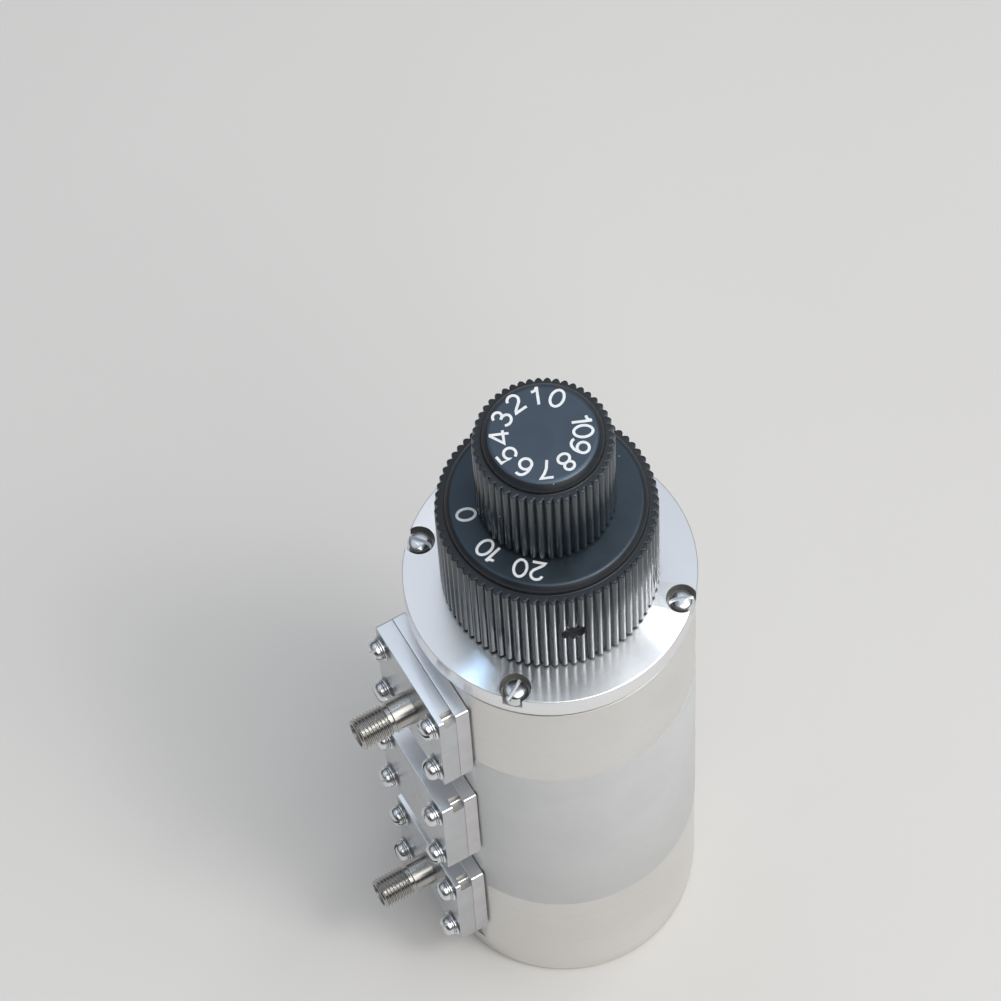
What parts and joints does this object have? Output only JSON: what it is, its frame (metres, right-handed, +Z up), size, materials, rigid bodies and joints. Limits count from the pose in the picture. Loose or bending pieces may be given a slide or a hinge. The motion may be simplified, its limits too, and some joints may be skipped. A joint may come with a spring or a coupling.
{
  "type": "rotary step attenuator",
  "caption": "Round coaxial step attenuator with two stacked fluted knobs, a polished front plate and a row of side blocks with threaded jacks.",
  "frame": {"origin": "on the knobs' axis, at the centre of the flat bottom face", "axes": "+Z up along the knobs' axis, -Y out of the coaxial jacks"},
  "size_m": [0.054, 0.0692, 0.1787],
  "materials": {
    "plate": "mirror polished",
    "housing": "satin",
    "rotor": "machined",
    "knob": "black anodised, satin",
    "screw": "bright zinc",
    "steel": "passivated, turned",
    "brass": "turned",
    "contact": "gold plated",
    "dielectric": "white"
  },
  "bodies": {
    "attenuator": {"front_plate": "plate", "shaft_bushing": "brass", "housing": "housing", "middle_bearing_plate": "housing", "base_plate": "housing", "input_block": "housing", "link_block": "housing", "output_block": "housing", "input_cover": "housing", "link_cover": "housing", "output_cover": "housing", "input_jack": "steel", "output_jack": "steel", "input_insulator": "dielectric", "output_insulator": "dielectric", "input_contact": "contact", "output_contact": "contact", "link_contact": "contact", "link_insulator": "dielectric", "upper_detent_leaf": "steel", "upper_detent_post": "screw", "lower_detent_leaf": "steel", "lower_detent_post": "screw", "plate_screw_1": "screw", "plate_screw_2": "screw", "plate_screw_3": "screw", "plate_screw_4": "screw", "base_screw_1": "screw", "base_screw_2": "screw", "base_screw_3": "screw", "base_screw_4": "screw", "input_screw_1": "screw", "input_screw_2": "screw", "input_screw_3": "screw", "input_screw_4": "screw", "link_screw_1": "screw", "link_screw_2": "screw", "link_screw_3": "screw", "link_screw_4": "screw", "output_screw_1": "screw", "output_screw_2": "screw", "output_screw_3": "screw", "output_screw_4": "screw"},
    "outer_dial": {"outer_knob": "knob", "outer_set_screw": "screw", "outer_shaft": "steel", "upper_detent_wheel": "steel", "upper_rotor": "rotor", "cell_0db": "brass", "cell_10db": "brass", "cell_20db": "brass"},
    "inner_dial": {"inner_knob": "knob", "inner_set_screw": "screw", "inner_shaft": "steel", "lower_detent_wheel": "steel", "lower_rotor": "rotor"}
  },
  "joints": [
    {"name": "tens_dial", "type": "hinge", "parent": "attenuator", "child": "outer_dial", "pos_m": [0, 0, 0.1275], "axis": [0, 0, 1], "range_deg": [-30, 30]},
    {"name": "units_dial", "type": "hinge", "parent": "attenuator", "child": "inner_dial", "pos_m": [0, 0, 0.155], "axis": [0, 0, 1], "range_deg": [-150, 150]}
  ]
}
